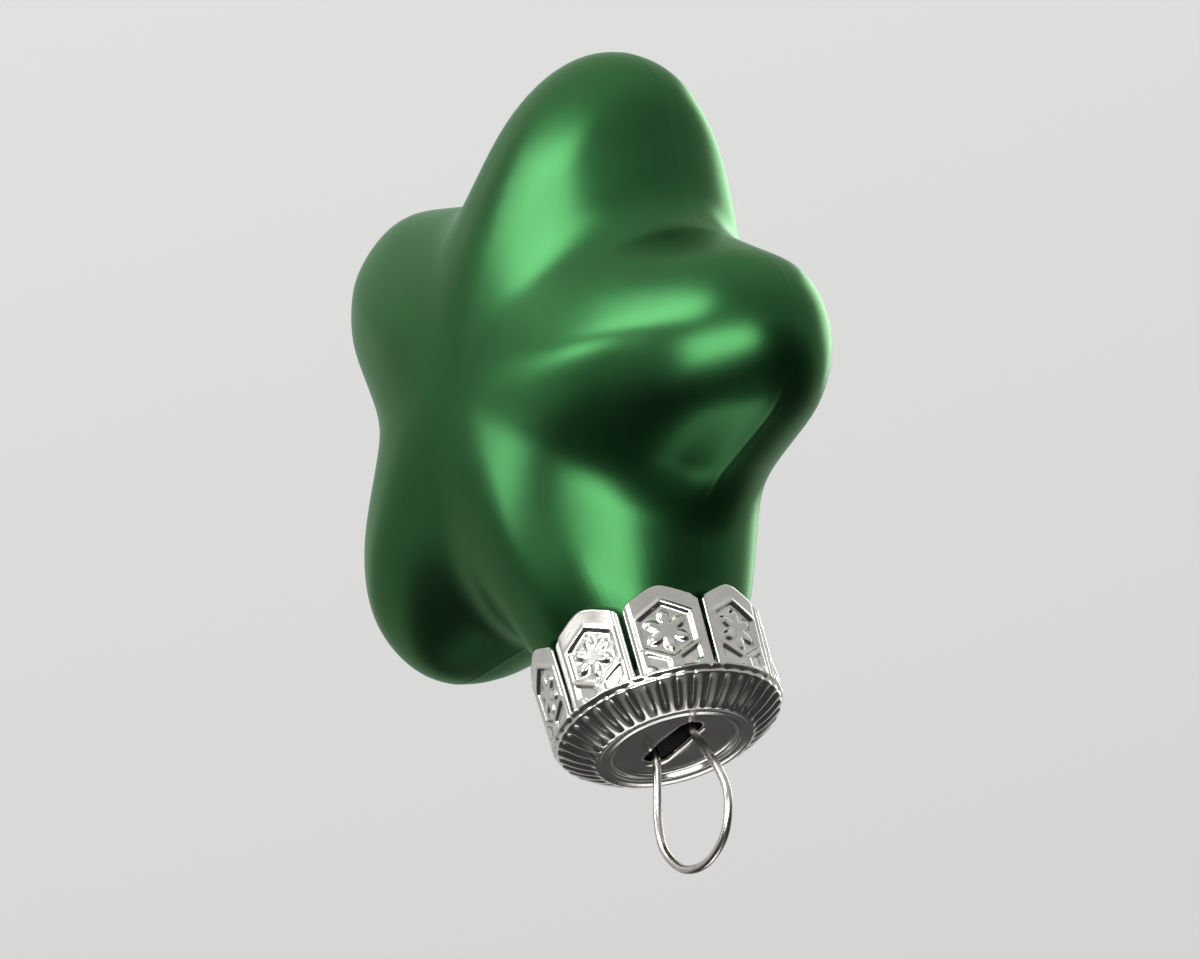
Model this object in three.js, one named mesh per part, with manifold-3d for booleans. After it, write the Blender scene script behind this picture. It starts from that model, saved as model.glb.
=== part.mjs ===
// A blown glass star ornament with a stamped crown cap and a wire hanger.
// Millimetres, +Z up. The origin is the inside top of the hanger loop, where a hook or thread
// bears. The star's front face looks along -Y.
import * as THREE from "three";
import { mergeVertices } from "three/addons/utils/BufferGeometryUtils.js";
import Module from "manifold-3d";

const wasm = await Module();
wasm.setup();

// Star bulb
const ARMS = 5;
const TIP_RADIUS = 20.8; // centre of the star to the end of an arm
const VALLEY_RADIUS = 14.6; // centre of the star to the notch between two arms
const TIP_ROUNDING = 5.6; // radius of the round end of an arm
const VALLEY_ROUNDING = 5; // radius of the round notch
const CREST_ROUNDING = 1.1; // end radius of the crisp outline that shapes the faces' crests
const CREASE_ROUNDING = 2.2; // notch radius of that outline, which shapes the creases
const HALF_THICKNESS = 10;
const GLASS_WALL = 0.9;
const CREST_FADE_START = 0.45; // share of the way to the rim where the crests begin to soften
const CREST_FADE_END = 0.97;

// Neck of the bulb
const NECK_RADIUS = 4.5;
const NECK_OVERLAP = 3; // how far the neck tube reaches down into the arm

// Cap
const CAP_RADIUS = 6.75;
const CAP_SHEET = 0.3;
const BEVEL_DROP = 1.3; // height of the fluted bevel
const BEVEL_WIDTH = 2.1;
const DISC_RADIUS = 3.7;
const DISC_RECESS = 0.3;
const STEP_WIDTH = 0.15; // slope between the recessed disc and the plain groove
const FLUTES = 40;
const FLUTE_DEPTH = 0.22;
const SLOT_WIDTH = 1.6;
const TABS = 9;
const TAB_LENGTH = 6.1; // rim to point
const TAB_GAP = 0.3;
const TAB_WEB = 0.5; // plain skirt left between the rim and the slits
const TAB_POINT_ANGLE = Math.PI / 6; // slope of both sides of the point of a tab

// Raised pattern on each tab
const EMBOSS = 0.18;
const FRAME_REACH = 1.95; // hexagon frame, centre to corner
const FRAME_LINE = 0.28;
const FRAME_ABOVE_POINT = 3.1; // frame's centre above the tab's point
const FLAKE_REACH = 1.3; // snowflake, centre to the end of a branch
const FLAKE_WAIST = 0.45;
const STEM_WIDTH = 0.5;

// Wire hanger
const WIRE_DIAMETER = 0.52;
const LOOP_WIDTH = 7.3; // outside
const LOOP_HEIGHT = 7.6; // cap disc to the inside top of the loop
const LEG_SPACING = 3.7; // between the legs' centres in the slot
const LIFT = 3; // how far the hanger slides up in the slot
const LEG_SPLAY = 2.6; // height over which a leg bends out to the neck wall
const LEG_FOOT = 4; // straight end of a leg along the neck wall
// The loop as shares of its half width and of its height, from the top down to the slot
const LOOP_SHARES = [[0.62, 0.09], [0.97, 0.33], [0.93, 0.56], [0.68, 0.83]];

const CLEARANCE = 0.3;

// Mesh fineness
const STAR_STEPS_AROUND = ARMS * 16;
const STAR_STEPS_OVER = 24;
const HOLLOW_STEPS_AROUND = ARMS * 8;
const HOLLOW_STEPS_OVER = 16;
const NECK_STEPS = 36;
const CAP_STEPS = FLUTES * 3;
const WIRE_SIDES = 8;
const WIRE_STEPS = 84;
const SLOT_END_STEPS = 6;
const SHOULDER_DIRECTIONS = 24; // directions in which the cap's seat on the arm is tried
const HALVINGS = 40; // steps of the search for a height on the arm
const WELD_DISTANCE = 1e-4; // points nearer than this are one

// Heights and radii that follow from the sizes above
const wireRadius = WIRE_DIAMETER / 2;
const discTop = -LOOP_HEIGHT;
const discUnderside = discTop - CAP_SHEET;
const grooveTop = discTop + DISC_RECESS;
const rimHeight = grooveTop - BEVEL_DROP;
const tabPointHeight = rimHeight - TAB_LENGTH;
const skirtInnerRadius = CAP_RADIUS - CAP_SHEET;
const bevelInnerRadius = CAP_RADIUS - BEVEL_WIDTH;
const neckTop = discUnderside - CLEARANCE;
const boreRadius = NECK_RADIUS - GLASS_WALL;
const slotLength = LEG_SPACING + WIRE_DIAMETER + 2 * CLEARANCE;
const halfArm = Math.PI / ARMS;

const satinGreenGlass = new THREE.MeshStandardMaterial({ color: 0x0f7a33, roughness: 0.38, metalness: 0.9 });
const stampedAluminium = new THREE.MeshStandardMaterial({ color: 0xd6d5d0, roughness: 0.28, metalness: 1 });
const steelWire = new THREE.MeshStandardMaterial({ color: 0xb9b6b0, roughness: 0.25, metalness: 1 });

// A closed three.js geometry as a solid for joining and cutting
function solidOf(geometry) {
  const bare = geometry.clone();
  bare.deleteAttribute("normal");
  bare.deleteAttribute("uv");
  const merged = mergeVertices(bare, WELD_DISTANCE);
  return new wasm.Manifold(
    new wasm.Mesh({
      numProp: 3,
      vertProperties: merged.getAttribute("position").array,
      triVerts: new Uint32Array(merged.index.array),
    }),
  );
}

// A named mesh made from a solid
function namedMesh(name, solid, material) {
  const { vertProperties, triVerts } = solid.getMesh();
  const geometry = new THREE.BufferGeometry();
  geometry.setAttribute("position", new THREE.BufferAttribute(vertProperties, 3));
  geometry.setIndex(new THREE.BufferAttribute(triVerts, 1));
  geometry.computeVertexNormals();
  const mesh = new THREE.Mesh(geometry, material);
  mesh.name = name;
  return mesh;
}

// A solid of revolution about +Z from [radius, height] pairs that start and end on the axis
function turned(profile, steps) {
  const points = profile.map(([radius, height]) => new THREE.Vector2(radius, height));
  return new THREE.LatheGeometry(points, steps).rotateX(Math.PI / 2);
}

function rod(radius, bottom, top, steps) {
  const profile = [[0, bottom], [radius, bottom], [radius, top], [0, top]];
  return turned(profile, steps);
}

// Outline of the star as a radius at an angle from the nearest arm's axis: a round tip and a
// round notch, joined by the straight line that touches both.
function armOutline(tipRadius, valleyRadius, tipRounding, valleyRounding) {
  const tip = new THREE.Vector2(tipRadius - tipRounding, 0);
  const notchDistance = valleyRadius + valleyRounding;
  const notch = new THREE.Vector2(Math.cos(halfArm), Math.sin(halfArm)).multiplyScalar(notchDistance);
  const between = notch.clone().sub(tip);
  const lean = Math.acos(Math.min(1, (tipRounding + valleyRounding) / between.length()));
  const normalAngle = between.angle() - lean;
  const normal = new THREE.Vector2(Math.cos(normalAngle), Math.sin(normalAngle));
  const reach = normal.dot(tip) + tipRounding;
  const tipEnd = tip.clone().addScaledVector(normal, tipRounding).angle();
  const notchStart = notch.clone().addScaledVector(normal, -valleyRounding).angle();
  return (angle) => {
    if (angle < tipEnd) {
      return tip.x * Math.cos(angle) + Math.sqrt(tipRounding ** 2 - (tip.x * Math.sin(angle)) ** 2);
    }
    if (angle < notchStart) return reach / Math.cos(angle - normalAngle);
    const fromNotch = halfArm - angle;
    const sideways = notchDistance * Math.sin(fromNotch);
    return notchDistance * Math.cos(fromNotch) - Math.sqrt(valleyRounding ** 2 - sideways ** 2);
  };
}

// Angle from the nearest arm's axis, for an angle measured from +X in the star's plane
function fromNearestArm(angle) {
  const turn = 2 * halfArm;
  const offset = THREE.MathUtils.euclideanModulo(angle - Math.PI / 2, turn);
  return Math.min(offset, turn - offset);
}

// The star's skin, taken in by an inset. At each angle it is half an ellipse from the front
// centre over the rim to the back. The crisp outline rules near the centre and the round one
// at the rim, so the crests fade out towards the tips.
function starSkin(inset) {
  const tipRadius = TIP_RADIUS - inset;
  const valleyRadius = VALLEY_RADIUS - inset;
  const notchRounding = VALLEY_ROUNDING + inset;
  const soft = armOutline(tipRadius, valleyRadius, TIP_ROUNDING - inset, notchRounding);
  const crisp = armOutline(tipRadius, valleyRadius, CREST_ROUNDING, CREASE_ROUNDING);
  return {
    halfThickness: HALF_THICKNESS - inset,
    radiusAt(angle, share) {
      const armAngle = fromNearestArm(angle);
      const softness = THREE.MathUtils.smoothstep(share, CREST_FADE_START, CREST_FADE_END);
      return share * THREE.MathUtils.lerp(crisp(armAngle), soft(armAngle), softness);
    },
  };
}

// The closed skin as a geometry: a sphere with its poles at the front and back centres, with
// each point moved to the skin.
function skinGeometry(skin, stepsAround, stepsOver) {
  const geometry = new THREE.SphereGeometry(1, stepsAround, stepsOver);
  const position = geometry.getAttribute("position");
  for (let i = 0; i < position.count; i++) {
    const angle = Math.atan2(position.getZ(i), position.getX(i));
    const share = Math.hypot(position.getX(i), position.getZ(i));
    const radius = skin.radiusAt(angle, share);
    const depth = skin.halfThickness * position.getY(i);
    position.setXYZ(i, radius * Math.cos(angle), depth, radius * Math.sin(angle));
  }
  return geometry;
}

// Height of the top arm above the star's centre at a place x to the side and y in depth
function armHeightAt(skin, x, y) {
  const share = Math.sqrt(1 - (y / skin.halfThickness) ** 2);
  let low = Math.PI / 2 - halfArm;
  let high = Math.PI / 2;
  for (let i = 0; i < HALVINGS; i++) {
    const middle = (low + high) / 2;
    if (skin.radiusAt(middle, share) * Math.cos(middle) > Math.abs(x)) low = middle;
    else high = middle;
  }
  return skin.radiusAt(high, share) * Math.sin(high);
}

// The highest place where the top arm is as wide as the cap's skirt, in any direction: the
// tabs' points stand just above it.
function shoulderHeight(skin) {
  let highest = 0;
  for (let i = 0; i <= SHOULDER_DIRECTIONS; i++) {
    const turn = (i / SHOULDER_DIRECTIONS) * (Math.PI / 2);
    const height = armHeightAt(skin, skirtInnerRadius * Math.cos(turn), skirtInnerRadius * Math.sin(turn));
    highest = Math.max(highest, height);
  }
  return highest;
}

// The blown bulb: star and neck outside, less the hollow and the bore of the neck
function glassStar() {
  const outer = starSkin(0);
  const inner = starSkin(GLASS_WALL);
  const centre = tabPointHeight - CLEARANCE - shoulderHeight(outer);
  const neckFoot = centre + armHeightAt(outer, NECK_RADIUS, 0) - NECK_OVERLAP;
  const star = skinGeometry(outer, STAR_STEPS_AROUND, STAR_STEPS_OVER).translate(0, 0, centre);
  const hollow = skinGeometry(inner, HOLLOW_STEPS_AROUND, HOLLOW_STEPS_OVER).translate(0, 0, centre);
  const neck = rod(NECK_RADIUS, neckFoot, neckTop, NECK_STEPS);
  const bore = rod(boreRadius, neckFoot, neckTop + GLASS_WALL, NECK_STEPS);
  const body = solidOf(star).add(solidOf(neck));
  const space = solidOf(hollow).add(solidOf(bore));
  return namedMesh("glass_star", body.subtract(space), satinGreenGlass);
}

// The cap's sheet before its slits are cut: slotted disc, groove, fluted bevel and plain skirt
function capShell() {
  const stepTop = DISC_RADIUS + STEP_WIDTH;
  const profile = [
    [0, discUnderside],
    [stepTop, discUnderside],
    [stepTop + STEP_WIDTH, grooveTop - CAP_SHEET],
    [bevelInnerRadius, grooveTop - CAP_SHEET],
    [skirtInnerRadius, rimHeight],
    [skirtInnerRadius, tabPointHeight],
    [CAP_RADIUS, tabPointHeight],
    [CAP_RADIUS, rimHeight - TAB_WEB],
    [CAP_RADIUS, rimHeight],
    [bevelInnerRadius, grooveTop],
    [stepTop, grooveTop],
    [DISC_RADIUS, discTop],
    [0, discTop],
  ];
  const geometry = turned(profile, CAP_STEPS);
  const position = geometry.getAttribute("position");
  for (let i = 0; i < position.count; i++) {
    const [radius, height] = profile[i % profile.length];
    if (radius !== CAP_RADIUS || height !== rimHeight) continue;
    const angle = Math.atan2(position.getY(i), position.getX(i));
    const dip = (FLUTE_DEPTH * (1 - Math.cos(FLUTES * angle))) / 2;
    position.setXYZ(i, (radius - dip) * Math.cos(angle), (radius - dip) * Math.sin(angle), height - dip);
  }
  return solidOf(geometry);
}

// A flat shape drawn in the tab's own plane, made into a bar that points outwards from the
// cap's axis at a turn about it. The shape's x runs round the skirt and its y is the height.
function radialBar(shape, turn) {
  const from = skirtInnerRadius - CAP_SHEET;
  const depth = 2 * CAP_RADIUS - from;
  const bar = new THREE.ExtrudeGeometry(shape, { depth, bevelEnabled: false, curveSegments: 1 });
  return bar.translate(0, 0, from).rotateX(Math.PI / 2).rotateZ(turn);
}

function regularOutline(corners, reaches) {
  return Array.from({ length: corners }, (_, i) => {
    const angle = Math.PI / 2 + (i * 2 * Math.PI) / corners;
    const reach = reaches[i % reaches.length];
    return new THREE.Vector2(reach * Math.cos(angle), reach * Math.sin(angle));
  });
}

// The slit between two tabs, which opens into the notch between their points
function slitShape() {
  const halfPitch = CAP_RADIUS * Math.sin(Math.PI / TABS);
  const halfGap = TAB_GAP / 2;
  const slitTop = rimHeight - TAB_WEB;
  const pointStart = tabPointHeight + (halfPitch - halfGap) * Math.tan(TAB_POINT_ANGLE);
  const below = tabPointHeight - CAP_SHEET;
  return new THREE.Shape([
    new THREE.Vector2(-halfGap, slitTop),
    new THREE.Vector2(-halfGap, pointStart),
    new THREE.Vector2(-halfPitch, tabPointHeight),
    new THREE.Vector2(-halfPitch, below),
    new THREE.Vector2(halfPitch, below),
    new THREE.Vector2(halfPitch, tabPointHeight),
    new THREE.Vector2(halfGap, pointStart),
    new THREE.Vector2(halfGap, slitTop),
  ]);
}

// Raised pattern of one tab: hexagon frame, six-branched snowflake and the stem to the rim
function tabPattern() {
  const middle = tabPointHeight + FRAME_ABOVE_POINT;
  const lift = (points) => points.map((point) => new THREE.Vector2(point.x, point.y + middle));
  const frame = new THREE.Shape(lift(regularOutline(6, [FRAME_REACH])));
  frame.holes.push(new THREE.Path(lift(regularOutline(6, [FRAME_REACH - FRAME_LINE])).reverse()));
  const flake = new THREE.Shape(lift(regularOutline(12, [FLAKE_REACH, FLAKE_WAIST])));
  const stemFoot = middle + FRAME_REACH - FRAME_LINE;
  const stem = new THREE.Shape([
    new THREE.Vector2(-STEM_WIDTH / 2, stemFoot),
    new THREE.Vector2(STEM_WIDTH / 2, stemFoot),
    new THREE.Vector2(STEM_WIDTH / 2, rimHeight - TAB_WEB),
    new THREE.Vector2(-STEM_WIDTH / 2, rimHeight - TAB_WEB),
  ]);
  return [frame, flake, stem];
}

function joined(geometries) {
  return geometries.map(solidOf).reduce((whole, next) => whole.add(next));
}

// A thin ring just proud of the skirt, which gives the raised patterns their curved faces
function embossRing() {
  const inner = (skirtInnerRadius + CAP_RADIUS) / 2;
  const outer = CAP_RADIUS + EMBOSS;
  const top = rimHeight;
  const ring = rod(outer, tabPointHeight, top, CAP_STEPS);
  const core = rod(inner, tabPointHeight - CAP_SHEET, top + CAP_SHEET, CAP_STEPS);
  return solidOf(ring).subtract(solidOf(core));
}

// The slot that the hanger's legs pass through
function slotSolid() {
  const endRadius = SLOT_WIDTH / 2;
  const endCentre = slotLength / 2 - endRadius;
  const shape = new THREE.Shape();
  shape.absarc(endCentre, 0, endRadius, -Math.PI / 2, Math.PI / 2);
  shape.absarc(-endCentre, 0, endRadius, Math.PI / 2, (3 * Math.PI) / 2);
  const depth = 4 * CAP_SHEET;
  const bar = new THREE.ExtrudeGeometry(shape, { depth, bevelEnabled: false, curveSegments: SLOT_END_STEPS });
  return solidOf(bar.translate(0, 0, discUnderside - CAP_SHEET));
}

// The stamped crown: sheet, slot, slits between the tabs and the raised patterns
function crownCap() {
  const tabTurns = Array.from({ length: TABS }, (_, i) => (i * 2 * Math.PI) / TABS);
  const slits = joined(tabTurns.map((turn) => radialBar(slitShape(), turn + Math.PI / TABS)));
  const patterns = joined(tabTurns.flatMap((turn) => tabPattern().map((shape) => radialBar(shape, turn))));
  const raised = patterns.intersect(embossRing());
  const cap = capShell().add(raised).subtract(slits).subtract(slotSolid());
  return namedMesh("cap", cap, stampedAluminium);
}

// One half of the wire from the top of the loop down to the end of a leg, as [x, z] pairs
function hangerHalf() {
  const top = wireRadius;
  const widest = LOOP_WIDTH / 2 - wireRadius;
  const legX = LEG_SPACING / 2;
  const wallX = boreRadius - CLEARANCE - wireRadius;
  const loopDrop = LOOP_HEIGHT + wireRadius;
  const straightEnd = discUnderside - LIFT - CLEARANCE;
  const splayEnd = straightEnd - LEG_SPLAY;
  return [
    [0, top],
    ...LOOP_SHARES.map(([across, down]) => [widest * across, top - loopDrop * down]),
    [legX, discTop],
    [legX, (discTop + straightEnd) / 2],
    [legX, straightEnd],
    [(legX + wallX) / 2, (straightEnd + splayEnd) / 2],
    [wallX, splayEnd],
    [wallX, splayEnd - LEG_FOOT / 2],
    [wallX, splayEnd - LEG_FOOT],
  ];
}

function wireHanger() {
  const half = hangerHalf();
  const left = half.slice(1).reverse().map(([x, z]) => new THREE.Vector3(-x, 0, z));
  const right = half.map(([x, z]) => new THREE.Vector3(x, 0, z));
  const path = new THREE.CatmullRomCurve3([...left, ...right], false, "centripetal");
  const section = new THREE.Shape().absarc(0, 0, wireRadius, 0, 2 * Math.PI);
  const wire = new THREE.ExtrudeGeometry(section, {
    extrudePath: path,
    steps: WIRE_STEPS,
    curveSegments: WIRE_SIDES / 2,
  });
  return namedMesh("wire_hanger", solidOf(wire), steelWire);
}

const ornament = new THREE.Group();
ornament.add(glassStar(), crownCap(), wireHanger());

export default ornament;
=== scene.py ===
"""Looks of a satin green blown glass star ornament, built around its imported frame.

Sizes are in millimetres, and piece() turns each finished mesh into metres. The axes are the frame's
own: +Z up along the neck, -Y the front face, origin at the inside top of the wire loop.
"""

import math

import bmesh
import bpy
import numpy as np
from mathutils import Matrix, Quaternion, Vector


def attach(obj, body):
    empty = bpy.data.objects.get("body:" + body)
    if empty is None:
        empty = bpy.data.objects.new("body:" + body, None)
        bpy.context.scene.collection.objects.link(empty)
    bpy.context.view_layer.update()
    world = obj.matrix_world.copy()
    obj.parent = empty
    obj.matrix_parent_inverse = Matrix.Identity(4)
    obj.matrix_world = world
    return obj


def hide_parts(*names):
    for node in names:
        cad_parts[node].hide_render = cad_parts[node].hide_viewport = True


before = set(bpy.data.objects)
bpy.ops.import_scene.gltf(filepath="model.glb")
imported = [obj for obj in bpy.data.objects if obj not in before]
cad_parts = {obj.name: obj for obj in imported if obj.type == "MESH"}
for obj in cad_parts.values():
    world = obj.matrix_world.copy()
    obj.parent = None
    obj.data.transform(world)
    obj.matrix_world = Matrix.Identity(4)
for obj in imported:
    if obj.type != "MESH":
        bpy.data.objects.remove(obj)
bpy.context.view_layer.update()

MM = 0.001
TINY = 1e-6

# Star bulb
ARMS = 5
TIP_RADIUS = 20.8
VALLEY_RADIUS = 14.6
TIP_ROUNDING = 5.6
VALLEY_ROUNDING = 5.0
CREST_ROUNDING = 1.1
CREASE_ROUNDING = 2.2
HALF_THICKNESS = 10.0
GLASS_WALL = 0.9
CREST_FADE = (0.45, 0.97)  # shares of the way out between which the crests soften into the outline
FOLD_BLUR = 0.95  # how widely the folds run out into one another at the centre
EDGE_BLUR = 0.2  # the same at the outline
SEAM_HEIGHT = 0.02
SEAM_SPREAD = 0.2
SEAM_ROWS = (0.06, 0.12, 0.2, 0.3)  # rows of the mesh on each side of the seam
WAVE_HEIGHT = 0.035
WAVE_START = (15.0, 19.0)  # depths below the origin between which the waves set in
BLUR_TURNS = 1440
BLUR_SHARES = 161
OUTER_STEPS = (32, 132)  # steps over half an arm's sector, and over the star from front to back
INNER_STEPS = (14, 56)
HALVINGS = 40  # steps of each search by halving

# Neck
NECK_RADIUS = 4.5
NECK_FILLET = 1.6
NECK_START = 12.2  # height above the star's centre where the arm is taken over by the neck's rings
NECK_RINGS = 43
NECK_LIP = 0.25
LIP_TURNS = (30, 60, 90)  # degrees
ARM_LIMIT = 9.0  # above the neck's start, the top arm stays closer to the neck's axis than this
LACQUER_END = 2.6  # silvered glass left bare between the lacquer and the neck's rim
LACQUER_DRIP = 0.3  # unevenness of the lacquer's end, up and down
LACQUER_FADE = 0.06  # half the width over which it thins out

# Cap
CAP_RADIUS = 6.75
CAP_SHEET = 0.3
SHEET_SHOWN = 0.22
BEVEL_DROP = 1.3
BEVEL_WIDTH = 2.1
BEVEL_CROWN = 0.1
BEVEL_LEVEL = 0.8  # share of the bevel from which it turns level
RIM_ROUNDING = 0.2
ROUNDING_DEPTH = 0.12  # how far under the rim's height its rounding starts
GROOVE_DEPTH = 0.09
DISC_RADIUS = 3.7
DISC_RECESS = 0.3
STEP_WIDTH = 0.15
FLUTES = 40
FLUTE_DEPTH = 0.22
FLUTE_POWER = 0.7
FLUTE_ENDS = (0.16, 0.76, 0.98)  # shares of the bevel: full depth from the first to the second
RIM_SCALLOP = 0.08
SLOT_WIDTH = 1.6
SLOT_TURN_IN = 0.1
SLOT_TURN_START = 0.82  # share of the way from the disc's edge to the slot
TABS = 9
TAB_LENGTH = 6.1
TAB_GAP = 0.3
TAB_WEB = 0.5
TAB_POINT_ANGLE = math.pi / 6
POINT_ROUNDING = 0.3
POINT_SINK = 0.1  # lowers the outline again, which the rounding lifts
CORNER_LIFT = 0.25
CORNER_WIDTH = 0.3
TAB_SPLAY = 0.14  # how far the points stand out from the rim
TAB_LEANS = (0.05, -0.04, 0.07, 0.02, 0.0, 0.06, -0.02, 0.07, -0.05)  # added for each tab
SPLAY_POWER = 1.2
TAB_FLATNESS = 0.45  # 1 would be a flat tab, 0 one that is round like the skirt
FLAT_FADE = (1.6, 0.1)  # distances under the web between which a tab becomes round
TAB_COLUMNS = 46
TAB_ROWS = 64
WEB_ROWS = 6
RIM_ROWS = 5
BEVEL_ROWS = 16
GROOVE_ROWS = 6
STEP_ROWS = 5
DISC_ROWS = 10

# Pattern stamped on a tab
EMBOSS = 0.18
SLOPE_WIDTH = 0.14  # of the step between two levels
FRAME_ABOVE_POINT = 3.1
FIELD_APOTHEM = 1.5  # recessed hexagon, centre to flat
BAND_WIDTH = 0.37  # raised band between the hexagon and the panels
STEM_HALF_WIDTH = 0.35  # raised strip between the two panels
SIDE_BORDER = 0.59
TOP_BORDER = 0.55
NOTCH_INSET = 0.6  # of the round notch in each panel's upper outer corner, from the tab's side
NOTCH_RADIUS = 0.36
NOTCH_SLOPE = 0.12
EDGE_LINE = (0.32, 0.16)  # thin groove along each side of the tab, as distances in from the side
EDGE_LINE_SLOPE = 0.08
EDGE_LINE_DEPTH = 0.08
RIDGE_OFFSET = 0.14  # fine ridge round the hexagon
RIDGE_WIDTH = 0.1
RIDGE_HEIGHT = 0.06
PETAL_START = 0.52  # the snowflake's outline, from its centre: between two petals
PETAL_LENGTH = 0.8  # and how much further out each petal reaches
PETAL_POWER = 1.1
PETAL_SLOPE = (0.18, 0.12)  # inside and outside that outline
FLAKE_HEIGHT = 0.13
SPOTS = 6
SPOT_RADIUS = 0.98
SPOT_WIDTH = 0.28
SPOT_HEIGHT = 0.06

# Wire hanger
WIRE_DIAMETER = 0.52
LOOP_WIDTH = 7.3
LOOP_HEIGHT = 7.6
LEG_SPACING = 3.7
LIFT = 3.0
LEG_SPLAY = 2.6
LEG_FOOT = 4.0
LOOP_SHARES = ((0.62, 0.09), (0.97, 0.33), (0.93, 0.56), (0.68, 0.83))  # out and down from its top
WIRE_SIDES = 20
WIRE_STEPS = 14  # between two of the points that the wire passes
WIRE_END_SHARE = 0.72  # of the wire's thickness, at its two cut ends

CLEARANCE = 0.3

# Colours and roughness
LACQUER_DEEP = (0.0052, 0.078, 0.013, 1)
LACQUER_PALE = (0.0072, 0.096, 0.0165, 1)
LACQUER_SHEEN = (0.25, 0.6, 0.3, 1)
SILVER_BARE = (0.72, 0.71, 0.68, 1)
SILVER_BRIGHT = (0.78, 0.78, 0.76, 1)
SILVER_DULL = (0.5, 0.5, 0.47, 1)
SHEET_BRIGHT = (0.64, 0.625, 0.59, 1)
SHEET_DULL = (0.52, 0.505, 0.47, 1)
WIRE_BRIGHT = (0.58, 0.55, 0.51, 1)
WIRE_DULL = (0.44, 0.42, 0.385, 1)
PAPER = (0.8, 0.8, 0.79, 1)
PAPER_GLOW = (1.0, 1.0, 0.99, 1)
LACQUER_ROUGHNESS = (0.31, 0.35)
BARE_ROUGHNESS = 0.12
SILVER_ROUGHNESS = (0.12, 0.3)
SHEET_ROUGHNESS = (0.15, 0.21)
WIRE_ROUGHNESS = (0.18, 0.3)
CLOUD_SPAN = (0.3, 0.7)  # most of a noise lies between these

# Camera and stage, in metres, with the lens and its sensor in millimetres
MIDDLE = Vector((0, 0, -0.0255))
CAMERA_DISTANCE = 0.56
CAMERA_RIGHT = Vector((-0.5538, 0.7975, 0.2396))
CAMERA_UP = Vector((-0.5049, -0.0927, -0.8582))
CAMERA_LENS = 285
CAMERA_SENSOR = 36
CAMERA_NEAR = 0.01
CAMERA_FAR = 50
FLOOR_HEIGHT = -0.45
FLOOR_REACH = 6.0
FLOOR_GLOW = 0.5
# Height of a direction, from 0 for level or below to 1 for straight up, and the grey that is seen there
WORLD_LIGHT = ((0.0, 0.6), (0.07, 0.6), (0.25, 0.1), (0.6, 0.045), (0.88, 0.05), (1.0, 0.28))

HALF_ARM = math.pi / ARMS
WIRE_RADIUS = WIRE_DIAMETER / 2
DISC_TOP = -LOOP_HEIGHT
DISC_UNDERSIDE = DISC_TOP - CAP_SHEET
GROOVE_TOP = DISC_TOP + DISC_RECESS
RIM_HEIGHT = GROOVE_TOP - BEVEL_DROP
TAB_POINT_HEIGHT = RIM_HEIGHT - TAB_LENGTH
SKIRT_INNER_RADIUS = CAP_RADIUS - CAP_SHEET
BEVEL_INNER_RADIUS = CAP_RADIUS - BEVEL_WIDTH
NECK_TOP = DISC_UNDERSIDE - CLEARANCE
BORE_RADIUS = NECK_RADIUS - GLASS_WALL
SLOT_LENGTH = LEG_SPACING + WIRE_DIAMETER + 2 * CLEARANCE
TAB_HALF_WIDTH = CAP_RADIUS * math.sin(math.pi / TABS) - TAB_GAP / 2
TAB_HALF_TURN = math.asin(TAB_HALF_WIDTH / CAP_RADIUS)
WEB_HEIGHT = TAB_LENGTH - TAB_WEB  # above the points' height, where the slits between the tabs end
BEVEL_SLOPE = math.pi / 2 - math.atan2(BEVEL_DROP, BEVEL_WIDTH)
BEVEL_START_RADIUS = CAP_RADIUS - RIM_ROUNDING * (1 - math.cos(BEVEL_SLOPE))
BEVEL_START_HEIGHT = RIM_HEIGHT - ROUNDING_DEPTH + RIM_ROUNDING * math.sin(BEVEL_SLOPE)


def smoothstep(value, low, high):
    share = np.clip((value - low) / (high - low), 0, 1)
    return share * share * (3 - 2 * share)


def smooth_max(a, b, blend):
    return np.maximum(a, b) + np.maximum(blend - np.abs(a - b), 0) ** 2 / (4 * blend)


# Star


def arm_outline(angle, tip_radius, valley_radius, tip_rounding, valley_rounding):
    """Radius of the star's outline at angles from the nearest arm's axis."""
    tip = tip_radius - tip_rounding
    notch = valley_radius + valley_rounding
    notch_point = notch * np.array([math.cos(HALF_ARM), math.sin(HALF_ARM)])
    between = notch_point - np.array([tip, 0])
    lean = math.acos(min(1, (tip_rounding + valley_rounding) / np.hypot(*between)))
    normal_angle = math.atan2(between[1], between[0]) - lean
    normal = np.array([math.cos(normal_angle), math.sin(normal_angle)])
    reach = normal[0] * tip + tip_rounding
    tip_end = math.atan2(tip_rounding * normal[1], tip + tip_rounding * normal[0])
    notch_start_point = notch_point - valley_rounding * normal
    notch_start = math.atan2(notch_start_point[1], notch_start_point[0])
    on_tip = tip * np.cos(angle) + np.sqrt(np.maximum(0, tip_rounding**2 - (tip * np.sin(angle)) ** 2))
    on_flank = reach / np.cos(angle - normal_angle)
    sideways = notch * np.sin(HALF_ARM - angle)
    on_notch = notch * np.cos(HALF_ARM - angle) - np.sqrt(np.maximum(0, valley_rounding**2 - sideways**2))
    return np.where(angle < tip_end, on_tip, np.where(angle < notch_start, on_flank, on_notch))


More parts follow.
